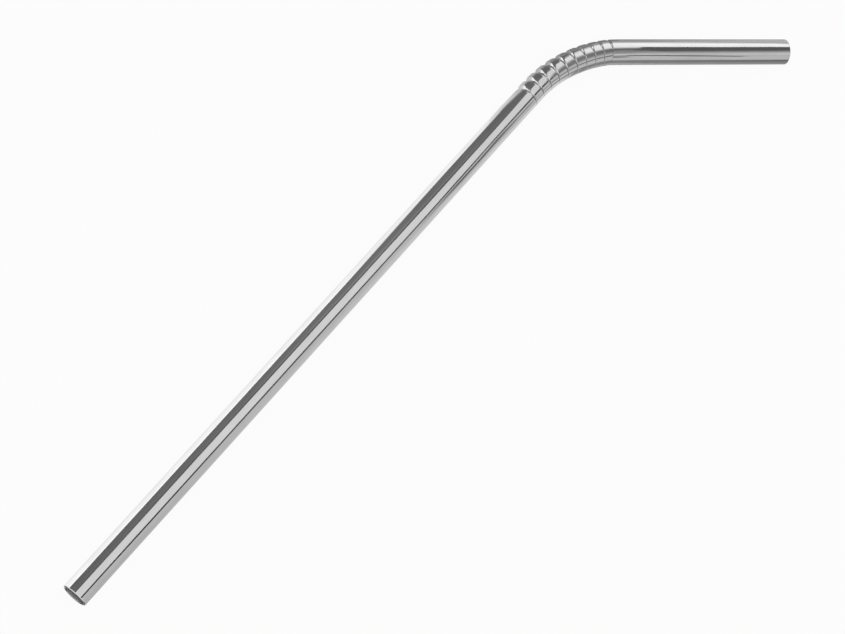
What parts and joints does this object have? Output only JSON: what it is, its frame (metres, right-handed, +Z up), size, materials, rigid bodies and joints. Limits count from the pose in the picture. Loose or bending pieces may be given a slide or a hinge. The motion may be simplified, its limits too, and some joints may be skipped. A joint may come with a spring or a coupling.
{
  "type": "bent metal drinking straw",
  "caption": "Reusable stainless steel drinking straw: a thin open tube with rolled ring grooves through one bend between a long leg and a short mouth leg.",
  "frame": {"origin": "middle of the straw's bounding box at the surface it lies on", "axes": "+X along the long leg from the foot end towards the bend, +Z up out of the plane of the bend as the straw lies on its side; the mouth leg turns off towards -Y"},
  "size_m": [0.2143, 0.0441, 0.006],
  "materials": {
    "steel": "polished"
  },
  "bodies": {
    "root": {"straw": "steel"}
  },
  "joints": []
}
